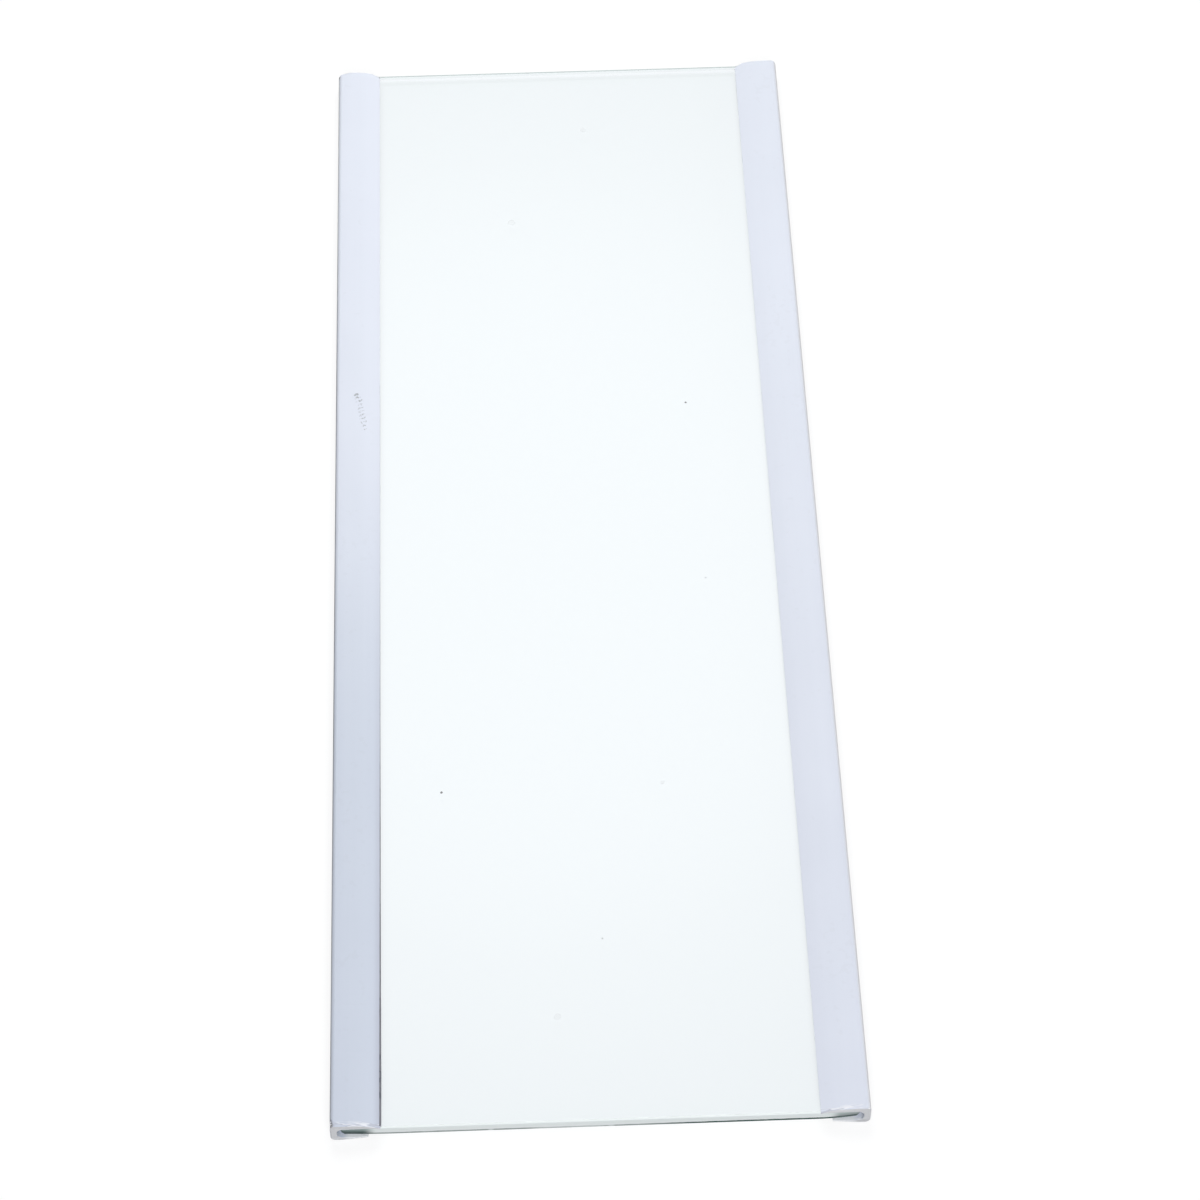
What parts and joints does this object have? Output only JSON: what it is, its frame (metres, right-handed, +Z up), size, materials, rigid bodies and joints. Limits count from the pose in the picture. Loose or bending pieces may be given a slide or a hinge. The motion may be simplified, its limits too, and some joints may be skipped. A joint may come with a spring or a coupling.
{
  "type": "fridge glass shelf",
  "caption": "Flat clear tempered glass shelf for a fridge, with bare short ends and a white plastic C-section trim pressed onto each long edge.",
  "frame": {"origin": "on the surface that the shelf rests on, midway along the trims and midway between them", "axes": "+X along the long side, +Y from the front trim to the rear trim, +Z up out of the glass"},
  "size_m": [0.4406, 0.16, 0.0079],
  "materials": {
    "clear_glass": "clear tempered sheet, ground edges, faint green tint",
    "white_plastic": "satin extruded plastic, cool white"
  },
  "bodies": {
    "root": {"glass_panel": "clear_glass", "front_trim": "white_plastic", "rear_trim": "white_plastic"}
  },
  "joints": []
}
